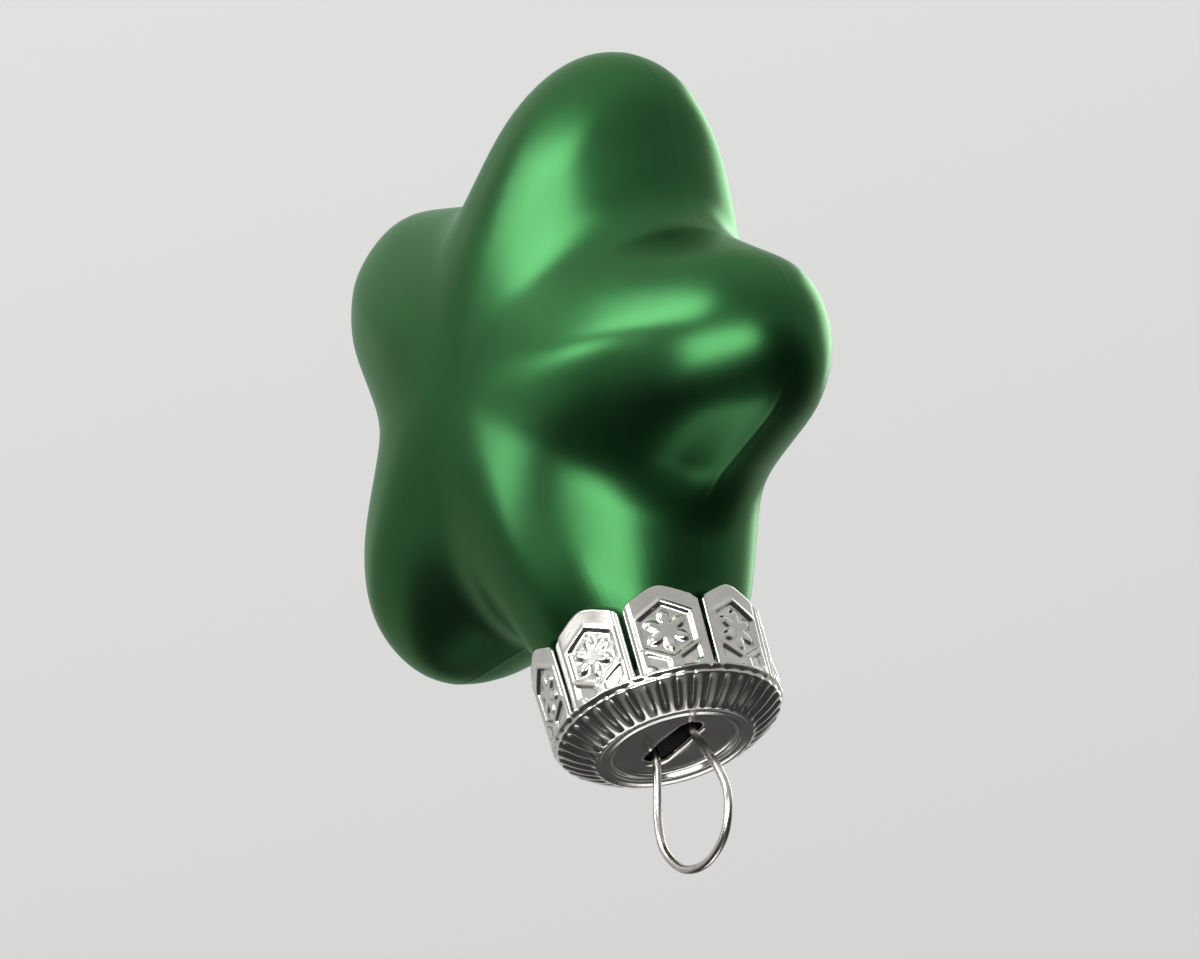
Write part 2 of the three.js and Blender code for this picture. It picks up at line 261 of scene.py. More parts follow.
def skin_radius(angle, share, inset):
    """Distance of the skin from the star's axis, at an angle in its plane and a share of the way out."""
    offset = np.mod(angle - math.pi / 2, 2 * HALF_ARM)
    offset = np.minimum(offset, 2 * HALF_ARM - offset)
    tip = TIP_RADIUS - inset
    valley = VALLEY_RADIUS - inset
    soft = arm_outline(offset, tip, valley, TIP_ROUNDING - inset, VALLEY_ROUNDING + inset)
    crisp = arm_outline(offset, tip, valley, CREST_ROUNDING, CREASE_ROUNDING)
    softness = smoothstep(share, *CREST_FADE)
    return share * (crisp + (soft - crisp) * softness)


def soft_skin(inset):
    """The skin's radius with its crests and creases blurred together towards the centre.

    Blown glass doesn't fill a mould's sharp lines, so the ten folds run out before they meet.
    """
    angles = np.arange(BLUR_TURNS) * 2 * math.pi / BLUR_TURNS
    waves = np.arange(BLUR_TURNS // 2 + 1)
    least_share = 0.02
    rows = []
    for share in np.linspace(0, 1, BLUR_SHARES):
        held = max(share, least_share)
        spread = (FOLD_BLUR + (EDGE_BLUR - FOLD_BLUR) * share) / (VALLEY_RADIUS * held)
        ring = np.fft.rfft(skin_radius(angles, held, inset) / held)
        rows.append(np.fft.irfft(ring * np.exp(-((waves * spread) ** 2) / 2), BLUR_TURNS))
    rows = np.array(rows)

    def radius(angle, share):
        column = np.mod(angle / (2 * math.pi), 1) * BLUR_TURNS
        row = np.clip(share, 0, 1) * (BLUR_SHARES - 1)
        i = np.minimum(row.astype(int), BLUR_SHARES - 2)
        j = column.astype(int) % BLUR_TURNS
        next_j = (j + 1) % BLUR_TURNS
        down = row - i
        along = column - np.floor(column)
        upper = rows[i, j] * (1 - along) + rows[i, next_j] * along
        lower = rows[i + 1, j] * (1 - along) + rows[i + 1, next_j] * along
        return share * (upper * (1 - down) + lower * down)

    return radius


def arm_reach(direction, height, skin, thickness):
    """How far the top arm reaches from the neck's axis in a direction, at a height above the centre."""
    low = np.zeros_like(direction)
    high = np.full_like(direction, ARM_LIMIT)
    for _ in range(HALVINGS):
        middle = (low + high) / 2
        x, y = middle * np.cos(direction), middle * np.sin(direction)
        share = np.sqrt(np.maximum(0, 1 - (y / thickness) ** 2))
        inside = skin(np.arctan2(height, x), share) > np.hypot(x, height)
        inside &= np.abs(y) < thickness
        low, high = np.where(inside, middle, low), np.where(inside, high, middle)
    return low


def arm_height_at(x, y):
    """How high the top arm stands above the star's centre, at a place beside the neck's axis."""
    share = math.sqrt(1 - (y / HALF_THICKNESS) ** 2)
    low, high = math.pi / 2 - HALF_ARM, math.pi / 2
    for _ in range(HALVINGS):
        middle = (low + high) / 2
        if skin_radius(np.array(middle), share, 0) * math.cos(middle) > abs(x):
            low = middle
        else:
            high = middle
    return float(skin_radius(np.array(high), share, 0) * math.sin(high))


def star_centre():
    """Height of the star's centre, which keeps the top arm clear of the points of the cap's tabs."""
    steps = 24
    turns = [i / steps * math.pi / 2 for i in range(steps + 1)]
    shoulder = max(
        arm_height_at(SKIRT_INNER_RADIUS * math.cos(t), SKIRT_INNER_RADIUS * math.sin(t)) for t in turns
    )
    return TAB_POINT_HEIGHT - CLEARANCE - shoulder


STAR_CENTRE = star_centre()


def dense_at_ends(count):
    """Shares from 0 to 1, closer together near both ends."""
    crowding = 0.12
    share = np.linspace(0, 1, count + 1)
    return share - crowding * np.sin(2 * math.pi * share)


def skin_mesh(skin, thickness, half_sector_steps, over_steps):
    """The closed skin as a bmesh, its rows running from the front centre to the back centre."""
    bm = bmesh.new()
    half = dense_at_ends(half_sector_steps) * HALF_ARM
    sector = np.concatenate([half[:-1], 2 * HALF_ARM - half[1:][::-1]])
    angles = np.concatenate([math.pi / 2 + 2 * HALF_ARM * k + sector for k in range(ARMS)])
    rows = np.linspace(0, math.pi, over_steps + 1)[1:-1]
    beside_seam = np.array(SEAM_ROWS) / HALF_THICKNESS
    rows = np.array(sorted({*rows, *(math.pi / 2 - beside_seam), *(math.pi / 2 + beside_seam)}))
    least_turn = 0.003
    rows = rows[np.concatenate([[True], np.diff(rows) > least_turn])]
    grid = []
    for over in rows:
        share = math.sin(over)
        radius = skin(angles, np.full(len(angles), share))
        y = -thickness * math.cos(over)
        points = zip(radius * np.cos(angles), radius * np.sin(angles))
        grid.append([bm.verts.new((x, y, z + STAR_CENTRE)) for x, z in points])
    front = bm.verts.new((0, -thickness, STAR_CENTRE))
    back = bm.verts.new((0, thickness, STAR_CENTRE))
    count = len(angles)
    for i in range(count):
        j = (i + 1) % count
        bm.faces.new((front, grid[0][i], grid[0][j]))
        bm.faces.new((back, grid[-1][j], grid[-1][i]))
        for a, b in zip(grid, grid[1:]):
            bm.faces.new((a[i], b[i], b[j], a[j]))
    return bm


def open_loop(bm):
    """The vertices of the mesh's one open edge, in order of their direction from the neck's axis."""
    found = {v for e in bm.edges if e.is_boundary for v in e.verts}
    return sorted(found, key=lambda v: math.atan2(v.co.y, v.co.x))


def ring_faces(bm, below, above):
    count = len(below)
    for i in range(count):
        j = (i + 1) % count
        bm.faces.new((below[i], below[j], above[j], above[i]))


def grow_neck(bm, skin, thickness, tube_radius, lip):
    """Cuts the top arm off and grows it again as rings that turn into the neck's tube."""
    cut = STAR_CENTRE + NECK_START
    geometry = bm.verts[:] + bm.edges[:] + bm.faces[:]
    bmesh.ops.bisect_plane(bm, geom=geometry, plane_co=(0, 0, cut), plane_no=(0, 0, 1), clear_outer=True)
    loop = open_loop(bm)
    directions = np.array([math.atan2(v.co.y, v.co.x) for v in loop])
    top = NECK_TOP - NECK_LIP
    for height in np.linspace(cut, top, NECK_RINGS + 1)[1:]:
        arm = arm_reach(directions, height - STAR_CENTRE, skin, thickness)
        radius = smooth_max(arm, tube_radius, NECK_FILLET)
        points = zip(radius * np.cos(directions), radius * np.sin(directions))
        ring = [bm.verts.new((x, y, height)) for x, y in points]
        ring_faces(bm, loop, ring)
        loop = ring
    for degrees in LIP_TURNS:
        turn = math.radians(degrees)
        radius = tube_radius + lip * (1 - math.cos(turn))
        height = top + NECK_LIP * math.sin(turn)
        ring = [bm.verts.new((radius * math.cos(d), radius * math.sin(d), height)) for d in directions]
        ring_faces(bm, loop, ring)
        loop = ring


def stitch(bm, outer, inner):
    """Fills the ring between two loops that run the same way round with different counts."""

    def turn(v, first):
        return (math.atan2(v.co.y, v.co.x) - first) % (2 * math.pi)

    start = math.atan2(outer[0].co.y, outer[0].co.x)
    just_before = start - TINY
    inner = sorted(inner, key=lambda v: turn(v, just_before))
    outer_turns = [turn(v, start) for v in outer] + [2 * math.pi]
    inner_turns = [turn(v, just_before) for v in inner] + [2 * math.pi]
    i = j = 0
    while i < len(outer) or j < len(inner):
        a, b = outer[i % len(outer)], inner[j % len(inner)]
        step_outer = j >= len(inner) or (i < len(outer) and outer_turns[i + 1] <= inner_turns[j + 1])
        if step_outer:
            i += 1
            bm.faces.new((a, outer[i % len(outer)], b))
        else:
            j += 1
            bm.faces.new((a, inner[j % len(inner)], b))


def blown_wave(x, y, z):
    """Waves that cross each other, 7 to 37 mm long. The numbers are radians a millimetre, and phases."""
    slow = math.sin(0.33 * x + 0.21 * z + 0.6) * math.cos(0.41 * y - 0.17 * z + 1.1)
    return slow + 0.6 * math.sin(0.57 * z - 0.36 * x + 0.9 * y + 2.0)


def hand_blown(bm):
    """Slow waves of the blown wall and the faint seam of the two-part mould."""
    bm.normal_update()
    moves = []
    for v in bm.verts:
        x, y, z = v.co
        below_neck = float(smoothstep(-z, *WAVE_START))
        seam = math.exp(-((y / SEAM_SPREAD) ** 2))
        moves.append(v.normal * below_neck * (WAVE_HEIGHT * blown_wave(x, y, z) + SEAM_HEIGHT * seam))
    for v, move in zip(bm.verts, moves):
        v.co += move


def glass_star(materials):
    """The hollow bulb: its outer skin, its inner skin and the rim that joins them."""
    outer_skin = soft_skin(0)
    outer = skin_mesh(outer_skin, HALF_THICKNESS, *OUTER_STEPS)
    grow_neck(outer, outer_skin, HALF_THICKNESS, NECK_RADIUS, -NECK_LIP)
    bmesh.ops.recalc_face_normals(outer, faces=outer.faces)
    hand_blown(outer)
    inner_skin = soft_skin(GLASS_WALL)
    inner = skin_mesh(inner_skin, HALF_THICKNESS - GLASS_WALL, *INNER_STEPS)
    grow_neck(inner, inner_skin, HALF_THICKNESS - GLASS_WALL, BORE_RADIUS, NECK_LIP / 2)
    outer_count = len(outer.verts)
    inner_mesh = bpy.data.meshes.new("inner_skin")
    inner.to_mesh(inner_mesh)
    inner.free()
    outer.from_mesh(inner_mesh)
    bpy.data.meshes.remove(inner_mesh)
    outer.verts.index_update()
    edge = open_loop(outer)
    outer_edge = [v for v in edge if v.index < outer_count]
    inner_edge = [v for v in edge if v.index >= outer_count]
    for face in outer.faces:
        inside = all(v.index >= outer_count for v in face.verts)
        face.material_index = 1 if inside else 0
    stitch(outer, outer_edge, inner_edge)
    bmesh.ops.recalc_face_normals(outer, faces=outer.faces)
    piece("satin_star", outer, materials, "star", "glass_star")


def piece(name, bm, materials, body, node):
    """A finished smooth-shaded object from a bmesh in millimetres, riding on its CAD body."""
    for v in bm.verts:
        v.co *= MM
    mesh = bpy.data.meshes.new(name)
    bm.to_mesh(mesh)
    bm.free()
    for material in materials:
        mesh.materials.append(material)
    mesh.shade_smooth()
    obj = bpy.data.objects.new(name, mesh)
    bpy.context.scene.collection.objects.link(obj)
    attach(obj, body)
    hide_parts(node)


# Cap


def bump(distance, radius):
    return np.exp(-((distance / radius) ** 2))


def beyond(place, edge, slope_width=SLOPE_WIDTH):
    """0 before an edge and 1 behind it, with a slope of the given width over the edge."""
    return smoothstep(place, edge - slope_width / 2, edge + slope_width / 2)


def snowflake(across, up):
    """Height of the six petals and of the spot on each of them, round the hexagon's centre."""
    distance = np.hypot(across, up)
    turn = np.arctan2(across, up)
    outline = PETAL_START + PETAL_LENGTH * np.abs(np.cos(SPOTS / 2 * turn)) ** PETAL_POWER
    height = FLAKE_HEIGHT * (1 - smoothstep(distance, outline - PETAL_SLOPE[0], outline + PETAL_SLOPE[1]))
    for k in range(SPOTS):
        tip = k * 2 * math.pi / SPOTS
        spot = np.hypot(across - SPOT_RADIUS * math.sin(tip), up - SPOT_RADIUS * math.cos(tip))
        height += SPOT_HEIGHT * bump(spot, SPOT_WIDTH)
    return height


def tab_relief(across, above_point):
    """Height of the stamped pattern on a tab, at places across it and above its point."""
    aside = np.abs(across)
    up = above_point - FRAME_ABOVE_POINT
    hexagon = np.maximum(aside, aside / 2 + np.abs(up) * math.sqrt(3) / 2)
    field = 1 - beyond(hexagon, FIELD_APOTHEM)
    panel = beyond(hexagon, FIELD_APOTHEM + BAND_WIDTH) * (up > 0)
    panel *= beyond(aside, STEM_HALF_WIDTH)
    panel *= 1 - beyond(aside, TAB_HALF_WIDTH - SIDE_BORDER)
    panel *= 1 - beyond(above_point, TAB_LENGTH - TOP_BORDER)
    from_notch = np.hypot(aside - TAB_HALF_WIDTH + NOTCH_INSET, above_point - TAB_LENGTH + TOP_BORDER)
    panel *= beyond(from_notch, NOTCH_RADIUS, NOTCH_SLOPE)
    edge_line = beyond(aside, TAB_HALF_WIDTH - EDGE_LINE[0], EDGE_LINE_SLOPE)
    edge_line *= 1 - beyond(aside, TAB_HALF_WIDTH - EDGE_LINE[1], EDGE_LINE_SLOPE)
    ridge = bump(hexagon - FIELD_APOTHEM - RIDGE_OFFSET, RIDGE_WIDTH)
    height = EMBOSS * (1 - field - panel)
    height -= EDGE_LINE_DEPTH * edge_line * (1 - field)
    height += RIDGE_HEIGHT * ridge * (1 - panel)
    return height + field * snowflake(across, up)


def flute_height(angle):
    """Rounded ribs with narrow valleys between them, from 0 in a valley to 1 on a rib."""
    return np.abs(np.cos(FLUTES * angle / 2)) ** FLUTE_POWER


def slot_radius(angle):
    """Distance from the disc's centre to the edge of the slot."""
    end = SLOT_WIDTH / 2
    centre = SLOT_LENGTH / 2 - end
    cosine, sine = np.abs(np.cos(angle)), np.abs(np.sin(angle))
    on_side = end / np.maximum(sine, TINY)
    on_end = centre * cosine + np.sqrt(np.maximum(0, end**2 - (centre * sine) ** 2))
    return np.where(on_side * cosine <= centre, on_side, on_end)


def cap_columns():
    """Each column's angle round the cap, its place across its tab, its tab, and whether a slit follows."""
    offsets = np.linspace(-TAB_HALF_TURN, TAB_HALF_TURN, TAB_COLUMNS + 1)
    tab_angles = [math.pi / 2 + k * 2 * math.pi / TABS for k in range(TABS)]
    angles = np.concatenate([offsets + a for a in tab_angles])
    across = np.tile(CAP_RADIUS * np.sin(offsets), TABS)
    tab = np.repeat(np.arange(TABS), TAB_COLUMNS + 1)
    slit_after = np.tile(np.arange(TAB_COLUMNS + 1) == TAB_COLUMNS, TABS)
    return angles, across, tab, slit_after


class SheetRows:
    """Rows of points round the cap, on the outside and on the inside of its sheet."""

    def __init__(self, angles):
        self.angles = angles
        self.level = np.stack([np.cos(angles), np.sin(angles), np.zeros(len(angles))], -1)
        self.outside = []
        self.inside = []

    def add(self, radius, height, slope, relief, inner_relief):
        """One row, with the outward normal's turn up from level and the stamped height on each side."""
        up = np.array([0, 0, 1.0])
        slope, relief, inner_relief = (
            np.broadcast_to(value, self.angles.shape)[:, None] for value in (slope, relief, inner_relief)
        )
        radius, height = (np.broadcast_to(value, self.angles.shape) for value in (radius, height))
        middle = np.stack([radius * np.cos(self.angles), radius * np.sin(self.angles), height], -1)
        normal = self.level * np.cos(slope) + up * np.sin(slope)
        self.outside.append(middle + normal * relief)
        self.inside.append(middle + normal * (inner_relief - SHEET_SHOWN))


def add_tabs(rows, across, tab):
    """The tabs, from their points up to where the slits between them end."""
    point = np.abs(across) * math.tan(TAB_POINT_ANGLE)
    point = np.sqrt(point**2 + POINT_ROUNDING**2) - POINT_SINK
    point += CORNER_LIFT * smoothstep(np.abs(across), TAB_HALF_WIDTH - CORNER_WIDTH, TAB_HALF_WIDTH) ** 2
    splay = TAB_SPLAY + np.array(TAB_LEANS)[tab]
    plate = CAP_RADIUS * (1 - math.cos(TAB_HALF_TURN)) * (1 - (across / TAB_HALF_WIDTH) ** 2)
    for share in np.linspace(0, 1, TAB_ROWS + 1):
        above = point + (WEB_HEIGHT - point) * share
        round_share = smoothstep(above, WEB_HEIGHT - FLAT_FADE[0], WEB_HEIGHT - FLAT_FADE[1])
        flatness = TAB_FLATNESS * (1 - round_share)
        flare = splay * ((WEB_HEIGHT - above) / WEB_HEIGHT) ** SPLAY_POWER
        pattern = tab_relief(across, above)
        rows.add(CAP_RADIUS - flatness * plate + flare, TAB_POINT_HEIGHT + above, 0.0, pattern, pattern / 2)


def add_web(rows, across, ribs):
    """The band over the slits, where the tabs' pattern runs out into the scalloped rim."""
    top = TAB_LENGTH - ROUNDING_DEPTH
    for above in np.linspace(WEB_HEIGHT, top, WEB_ROWS + 1)[1:]:
        fade = smoothstep(above, WEB_HEIGHT, top)
        pattern = tab_relief(across, np.full(len(across), above))
        dip = -RIM_SCALLOP * (1 - ribs) * fade**2
        rows.add(CAP_RADIUS, TAB_POINT_HEIGHT + above, 0.0, pattern * (1 - fade) + dip, dip)


def add_rim(rows, ribs):
    """The rounding from the skirt over to the bevel."""
    dip = -RIM_SCALLOP * (1 - ribs)
    for share in np.linspace(0, 1, RIM_ROWS + 1)[1:]:
        slope = BEVEL_SLOPE * share
        radius = CAP_RADIUS - RIM_ROUNDING * (1 - math.cos(slope))
        height = RIM_HEIGHT - ROUNDING_DEPTH + RIM_ROUNDING * math.sin(slope)
        rows.add(radius, height, slope, dip, dip)


def add_bevel(rows, ribs):
    """The fluted bevel, a little crowned, that ends level with the groove."""
    flutes_start, fade_start, fade_end = FLUTE_ENDS
    for share in np.linspace(0, 1, BEVEL_ROWS + 1)[1:]:
        radius = BEVEL_START_RADIUS + (BEVEL_INNER_RADIUS - BEVEL_START_RADIUS) * share
        height = BEVEL_START_HEIGHT + (GROOVE_TOP - BEVEL_START_HEIGHT) * share
        slope = BEVEL_SLOPE + (math.pi / 2 - BEVEL_SLOPE) * smoothstep(share, BEVEL_LEVEL, 1.0)
        depth = RIM_SCALLOP + (FLUTE_DEPTH - RIM_SCALLOP) * smoothstep(share, 0.0, flutes_start)
        depth *= 1 - smoothstep(share, fade_start, fade_end)
        dip = -depth * (1 - ribs) + BEVEL_CROWN * math.sin(math.pi * share)
        rows.add(radius, height, slope, dip, dip)


def add_disc(rows):
    """The plain groove, the step down to the disc, and the disc as far as its slot."""
    groove_end = DISC_RADIUS + STEP_WIDTH
    for share in np.linspace(0, 1, GROOVE_ROWS + 1)[1:]:
        radius = BEVEL_INNER_RADIUS + (groove_end - BEVEL_INNER_RADIUS) * share
        dip = -GROOVE_DEPTH * math.sin(math.pi * share)
        rows.add(radius, GROOVE_TOP, math.pi / 2, dip, dip)
    for share in np.linspace(0, 1, STEP_ROWS + 1)[1:]:
        radius = groove_end - STEP_WIDTH * share
        height = GROOVE_TOP - DISC_RECESS * smoothstep(share, 0.0, 1.0)
        rows.add(radius, height, math.pi / 2, 0.0, 0.0)
    slot = slot_radius(rows.angles)
    for share in np.linspace(0, 1, DISC_ROWS + 1)[1:]:
        radius = DISC_RADIUS + (slot - DISC_RADIUS) * share
        turned_in = -SLOT_TURN_IN * smoothstep(share, SLOT_TURN_START, 1.0)
        rows.add(radius, DISC_TOP, math.pi / 2, turned_in, turned_in)


def sheet_mesh(rows, slit_after):
    """Both sides of the sheet as a bmesh, closed along the slot, the points and the slits."""
    bm = bmesh.new()
    outer = [[bm.verts.new(p) for p in row] for row in rows.outside]
    inner = [[bm.verts.new(p) for p in row] for row in rows.inside]
    count = len(slit_after)
    for i in range(count):
        j = (i + 1) % count
        first = TAB_ROWS if slit_after[i] else 0
        for r in range(first, len(outer) - 1):
            bm.faces.new((outer[r][i], outer[r][j], outer[r + 1][j], outer[r + 1][i]))
            bm.faces.new((inner[r][i], inner[r + 1][i], inner[r + 1][j], inner[r][j]))
        bm.faces.new((outer[-1][i], outer[-1][j], inner[-1][j], inner[-1][i]))
        bm.faces.new((outer[first][i], inner[first][i], inner[first][j], outer[first][j]))
        for r in range(first):
            bm.faces.new((outer[r][i], inner[r][i], inner[r + 1][i], outer[r + 1][i]))
            bm.faces.new((outer[r][j], outer[r + 1][j], inner[r + 1][j], inner[r][j]))
    bmesh.ops.recalc_face_normals(bm, faces=bm.faces)
    return bm


def crown_cap(materials):
    """The stamped cap, row by row from the tabs' points up to the slot."""
    angles, across, tab, slit_after = cap_columns()
    ribs = flute_height(angles)
    rows = SheetRows(angles)
    add_tabs(rows, across, tab)
    add_web(rows, across, ribs)
    add_rim(rows, ribs)
    add_bevel(rows, ribs)
    add_disc(rows)
    piece("crown_cap", sheet_mesh(rows, slit_after), materials, "cap", "cap")


# Wire hanger


def hanger_points():
    """The wire's centreline as (x, z) pairs, from one foot over the loop to the other."""
    top = WIRE_RADIUS
    widest = LOOP_WIDTH / 2 - WIRE_RADIUS
    leg = LEG_SPACING / 2
    wall = BORE_RADIUS - CLEARANCE - WIRE_RADIUS
    drop = LOOP_HEIGHT + WIRE_RADIUS
    straight_end = DISC_UNDERSIDE - LIFT - CLEARANCE
    splay_end = straight_end - LEG_SPLAY
    half = [(0, top)]
    half += [(widest * across, top - drop * down) for across, down in LOOP_SHARES]
    half += [
        (leg, DISC_TOP),
        (leg, (DISC_TOP + straight_end) / 2),
        (leg, straight_end),
        ((leg + wall) / 2, (straight_end + splay_end) / 2),
        (wall, splay_end),
        (wall, splay_end - LEG_FOOT / 2),
        (wall, splay_end - LEG_FOOT),
    ]
    return [(-x, z) for x, z in half[:0:-1]] + half


def smooth_path(points, steps_per_span):
    """A centripetal curve through the points, the same curve as in the solids."""
    points = np.array(points, float)
    ends = [2 * points[0] - points[1], *points, 2 * points[-1] - points[-2]]
    found = []
    for i in range(1, len(ends) - 2):
        p0, p1, p2, p3 = ends[i - 1 : i + 3]
        t0 = 0.0
        t1 = t0 + np.linalg.norm(p1 - p0) ** 0.5
        t2 = t1 + np.linalg.norm(p2 - p1) ** 0.5
        t3 = t2 + np.linalg.norm(p3 - p2) ** 0.5
        for t in np.linspace(t1, t2, steps_per_span, endpoint=False):
            a1 = (t1 - t) / (t1 - t0) * p0 + (t - t0) / (t1 - t0) * p1
            a2 = (t2 - t) / (t2 - t1) * p1 + (t - t1) / (t2 - t1) * p2
            a3 = (t3 - t) / (t3 - t2) * p2 + (t - t2) / (t3 - t2) * p3
            b1 = (t2 - t) / (t2 - t0) * a1 + (t - t0) / (t2 - t0) * a2
            b2 = (t3 - t) / (t3 - t1) * a2 + (t - t1) / (t3 - t1) * a3
            found.append((t2 - t) / (t2 - t1) * b1 + (t - t1) / (t2 - t1) * b2)
    found.append(points[-1])
    return np.array(found)


def wire_hanger(materials):
    """The bent wire, swept along its centreline, with slightly rounded ends."""
    path = smooth_path(hanger_points(), WIRE_STEPS)
    tangents = np.gradient(path, axis=0)
    tangents /= np.linalg.norm(tangents, axis=1)[:, None]
    thickness = np.ones(len(path))
    thickness[[0, -1]] = WIRE_END_SHARE
    bm = bmesh.new()
    rings = []
    for (x, z), (dx, dz), share in zip(path, tangents, thickness):
        ring = []
        for k in range(WIRE_SIDES):
            turn = 2 * math.pi * k / WIRE_SIDES
            out = WIRE_RADIUS * share * math.cos(turn)
            deep = WIRE_RADIUS * share * math.sin(turn)
            ring.append(bm.verts.new((x - dz * out, deep, z + dx * out)))
        rings.append(ring)
    for a, b in zip(rings, rings[1:]):
        ring_faces(bm, a, b)
    bm.faces.new(rings[0][::-1])
    bm.faces.new(rings[-1])
    bmesh.ops.recalc_face_normals(bm, faces=bm.faces)
    piece("loop_wire", bm, materials, "hanger", "wire_hanger")


# Materials


class Nodes:
    """Short calls for building one material's node tree."""

    def __init__(self, name):
        self.material = bpy.data.materials.new(name)
        self.material.use_nodes = True
        self.tree = self.material.node_tree
        self.shader = self.tree.nodes["Principled BSDF"]

    def add(self, kind, inputs=None, **settings):
        node = self.tree.nodes.new(kind)
        for key, value in settings.items():
            setattr(node, key, value)
        for key, value in (inputs or {}).items():
            self.put(node.inputs[key], value)
        return node

    def put(self, socket, value):
        if isinstance(value, bpy.types.NodeSocket):
            self.tree.links.new(value, socket)
        else:
            socket.default_value = value

    def shade(self, **inputs):
        for key, value in inputs.items():
            self.put(self.shader.inputs[key.replace("_", " ")], value)

    def place(self):
        return self.add("ShaderNodeTexCoord").outputs["Object"]

    def noise(self, scale, detail):
        inputs = {"Vector": self.place(), "Scale": scale, "Detail": detail}
        return self.add("ShaderNodeTexNoise", inputs).outputs["Fac"]

    def ramp(self, value, given, wanted=(0, 1)):
        """The value, turned from the given range into the wanted one."""
        inputs = {"Value": value, 1: given[0], 2: given[1], 3: wanted[0], 4: wanted[1]}
        return self.add("ShaderNodeMapRange", inputs).outputs["Result"]

    def mix(self, share, a, b):
        """The colour between two. Sockets 6, 7 and 2 are the colour ones of the mix node."""
        node = self.add("ShaderNodeMix", data_type="RGBA")
        self.put(node.inputs["Factor"], share)
        self.put(node.inputs[6], a)
        self.put(node.inputs[7], b)
        return node.outputs[2]

    def bumped(self, height, strength, distance):
        inputs = {"Height": height, "Strength": strength, "Distance": distance}
        return self.add("ShaderNodeBump", inputs).outputs["Normal"]


def satin_lacquer():
    """Satin green lacquer over the silvered glass, wiped away in an uneven line near the neck's rim."""
    n = Nodes("satin_lacquer")
    cloud = n.noise(scale=180.0, detail=3.0)
    grain = n.noise(scale=9000.0, detail=2.0)
    green = n.mix(n.ramp(cloud, (0.35, 0.65)), LACQUER_DEEP, LACQUER_PALE)
    height = n.add("ShaderNodeSeparateXYZ", {0: n.place()}).outputs["Z"]
    drip = n.ramp(n.noise(scale=420.0, detail=2.0), CLOUD_SPAN, (-LACQUER_DRIP * MM, LACQUER_DRIP * MM))
    level = n.add("ShaderNodeMath", {0: height, 1: drip}, operation="ADD").outputs[0]
    end = NECK_TOP - LACQUER_END
    bare = n.ramp(level, ((end - LACQUER_FADE) * MM, (end + LACQUER_FADE) * MM))
    satin = n.ramp(cloud, CLOUD_SPAN, LACQUER_ROUGHNESS)
    n.shade(Base_Color=n.mix(bare, green, SILVER_BARE), Metallic=1.0)
    n.shade(Roughness=n.ramp(bare, (0, 1), (satin, BARE_ROUGHNESS)))
    n.shade(Coat_Weight=0.5, Coat_Roughness=0.33, Coat_IOR=1.5)
    n.shade(Specular_Tint=LACQUER_SHEEN)
    n.shade(Normal=n.bumped(grain, strength=0.12, distance=0.02 * MM))
    return n.material


def silvered_glass():
    """The silvering on the inside of the bulb, a little clouded."""
    n = Nodes("silvered_glass")
    cloud = n.noise(scale=700.0, detail=4.0)
    n.shade(Base_Color=n.mix(n.ramp(cloud, (0.4, 0.7)), SILVER_BRIGHT, SILVER_DULL), Metallic=0.95)
    n.shade(Roughness=n.ramp(cloud, CLOUD_SPAN, SILVER_ROUGHNESS))
    return n.material


def stamped_sheet():
    """Bright aluminium sheet with faint clouds and very fine unevenness."""
    n = Nodes("stamped_sheet")
    cloud = n.noise(scale=900.0, detail=4.0)
    fine = n.noise(scale=5200.0, detail=3.0)
    n.shade(Base_Color=n.mix(n.ramp(cloud, (0.3, 0.75)), SHEET_BRIGHT, SHEET_DULL), Metallic=1.0)
    n.shade(Roughness=n.ramp(cloud, CLOUD_SPAN, SHEET_ROUGHNESS))
    n.shade(Normal=n.bumped(fine, strength=0.1, distance=0.03 * MM))
    return n.material


def drawn_wire():
    """Bright steel wire, greyer and rougher in places."""
    n = Nodes("drawn_wire")
    cloud = n.noise(scale=1500.0, detail=3.0)
    n.shade(Base_Color=n.mix(n.ramp(cloud, CLOUD_SPAN), WIRE_BRIGHT, WIRE_DULL), Metallic=1.0)
    n.shade(Roughness=n.ramp(cloud, CLOUD_SPAN, WIRE_ROUGHNESS))
    return n.material


# Stage


def seen_directly(tree):
    """1 on camera, glossy and transmission rays, 0 on the rays that carry light."""
    path = tree.nodes.new("ShaderNodeLightPath")
    total = path.outputs["Is Camera Ray"]
    for name in ("Is Glossy Ray", "Is Transmission Ray"):
        joined = tree.nodes.new("ShaderNodeMath")
        joined.operation = "MAXIMUM"
        tree.links.new(total, joined.inputs[0])
        tree.links.new(path.outputs[name], joined.inputs[1])
        total = joined.outputs[0]
    return total


def pale_floor():
    """A wide sheet of paper far under the ornament, which glows only where it is looked at."""
    mesh = bpy.data.meshes.new("floor")
    sides = ((-1, -1), (1, -1), (1, 1), (-1, 1))
    corners = [(x * FLOOR_REACH, y * FLOOR_REACH, FLOOR_HEIGHT) for x, y in sides]
    mesh.from_pydata(corners, [], [(0, 1, 2, 3)])
    n = Nodes("floor_paper")
    n.shade(Base_Color=PAPER, Roughness=1.0, Specular_IOR_Level=0.0)
    n.shade(Emission_Color=PAPER_GLOW)
    strength = n.add("ShaderNodeMath", {0: seen_directly(n.tree), 1: FLOOR_GLOW}, operation="MULTIPLY")
    n.shade(Emission_Strength=strength.outputs[0])
    mesh.materials.append(n.material)
    obj = bpy.data.objects.new("floor", mesh)
    bpy.context.scene.collection.objects.link(obj)


def grey(level):
    return level, level, level, 1


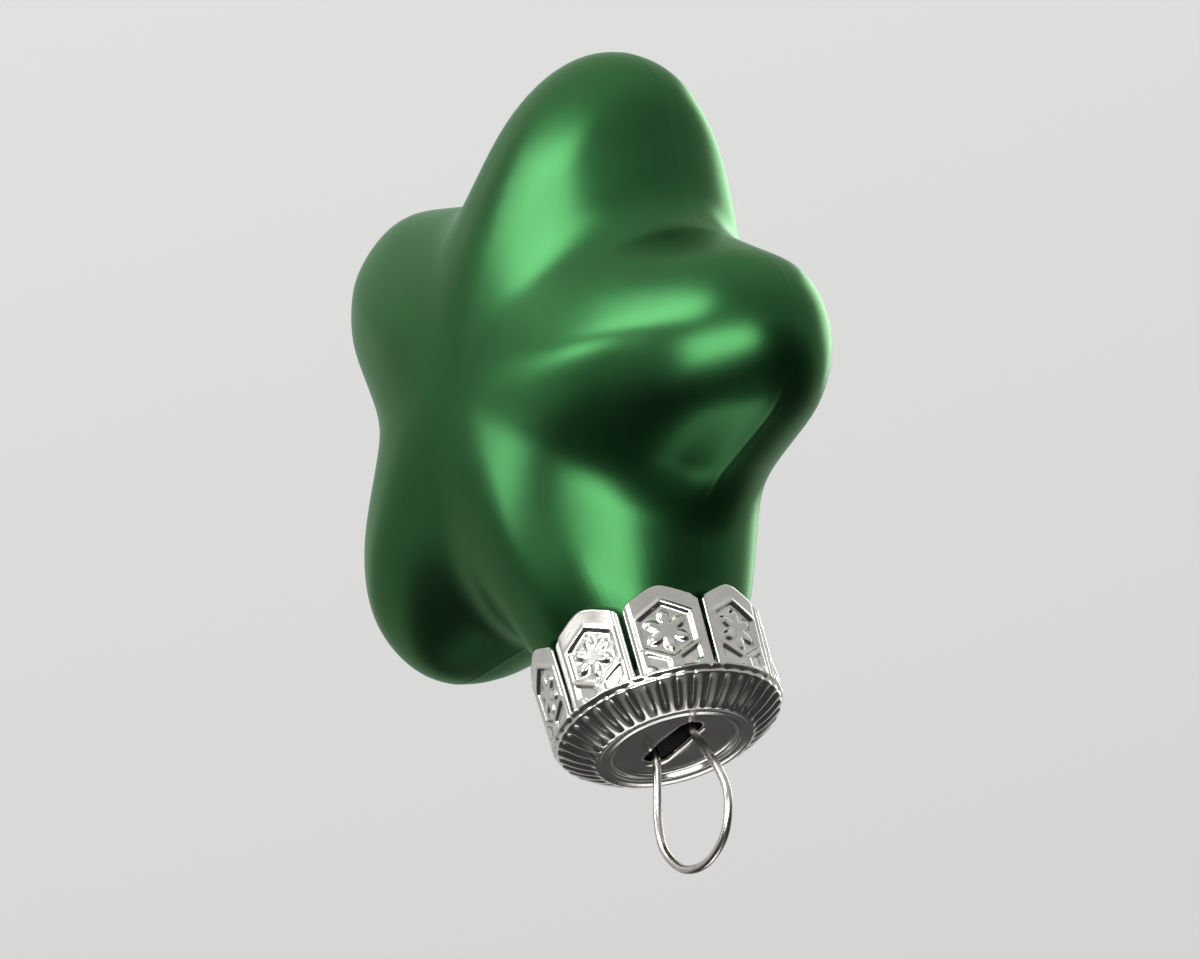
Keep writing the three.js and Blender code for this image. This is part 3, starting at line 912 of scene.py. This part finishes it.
def studio_world():
    """Grey light by the height of a direction, from level to straight up."""
    world = bpy.data.worlds.new("studio")
    bpy.context.scene.world = world
    world.use_nodes = True
    tree = world.node_tree
    place = tree.nodes.new("ShaderNodeTexCoord")
    split = tree.nodes.new("ShaderNodeSeparateXYZ")
    tree.links.new(place.outputs["Generated"], split.inputs[0])
    ramp = tree.nodes.new("ShaderNodeValToRGB")
    tree.links.new(split.outputs["Z"], ramp.inputs["Fac"])
    stops = ramp.color_ramp.elements
    first, *between, last = WORLD_LIGHT
    for stop, (position, level) in zip((stops[0], stops[1]), (first, last)):
        stop.position = position
        stop.color = grey(level)
    for position, level in between:
        stops.new(position).color = grey(level)
    tree.links.new(ramp.outputs["Color"], tree.nodes["Background"].inputs["Color"])


def direction_at(azimuth, elevation):
    """Unit direction of a view: azimuth 0 is on the front side, 90 on the right."""
    turn = math.radians(azimuth)
    rise = math.radians(elevation)
    level = math.cos(rise)
    return Vector((math.sin(turn) * level, -math.cos(turn) * level, math.sin(rise)))


def soft_box(name, azimuth, elevation, distance, size, brightness, roll=0.0):
    """An area lamp that looks at the middle of the ornament, as bright as said times white."""
    width, height = size
    data = bpy.data.lights.new(name, "AREA")
    data.shape = "RECTANGLE"
    data.size = width
    data.size_y = height
    data.energy = brightness * math.pi * width * height
    obj = bpy.data.objects.new(name, data)
    obj.visible_camera = False
    bpy.context.scene.collection.objects.link(obj)
    direction = direction_at(azimuth, elevation)
    obj.location = MIDDLE + direction * distance
    obj.rotation_mode = "QUATERNION"
    right = Vector((0, 0, 1)).cross(direction).normalized()
    right.rotate(Quaternion(direction, math.radians(roll)))
    turn = Matrix((right, direction.cross(right), direction)).transposed()
    obj.rotation_quaternion = turn.to_quaternion()


def studio_lamps():
    """Three soft boxes in front, where the photo's highlights ask for them, and two behind."""
    soft_box("low_front", -20, -30, distance=0.4, size=(0.32, 0.13), brightness=8.8, roll=-28)
    soft_box("level_front", 13, -11, distance=0.5, size=(0.13, 0.12), brightness=11.5)
    soft_box("front", -42, 21, distance=0.62, size=(0.6, 0.22), brightness=8.5)
    soft_box("high_back", 120, 60, distance=0.9, size=(0.6, 0.6), brightness=1.8)
    soft_box("low_back", 165, -25, distance=0.5, size=(0.25, 0.22), brightness=3.5)


def photo_camera():
    """The camera, looking at the star from the side and with the roll that the photo shows."""
    data = bpy.data.cameras.new("camera")
    camera = bpy.data.objects.new("camera", data)
    bpy.context.scene.collection.objects.link(camera)
    bpy.context.scene.camera = camera
    back = CAMERA_RIGHT.cross(CAMERA_UP).normalized()
    up = back.cross(CAMERA_RIGHT).normalized()
    right = CAMERA_RIGHT.normalized()
    turn = Matrix((right, up, back)).transposed()
    camera.matrix_world = Matrix.Translation(MIDDLE + back * CAMERA_DISTANCE) @ turn.to_4x4()
    data.sensor_width = CAMERA_SENSOR
    data.lens = CAMERA_LENS
    data.clip_start = CAMERA_NEAR
    data.clip_end = CAMERA_FAR


glass_star([satin_lacquer(), silvered_glass()])
crown_cap([stamped_sheet()])
wire_hanger([drawn_wire()])

bpy.context.scene.view_settings.view_transform = "Standard"
pale_floor()
studio_world()
studio_lamps()
photo_camera()
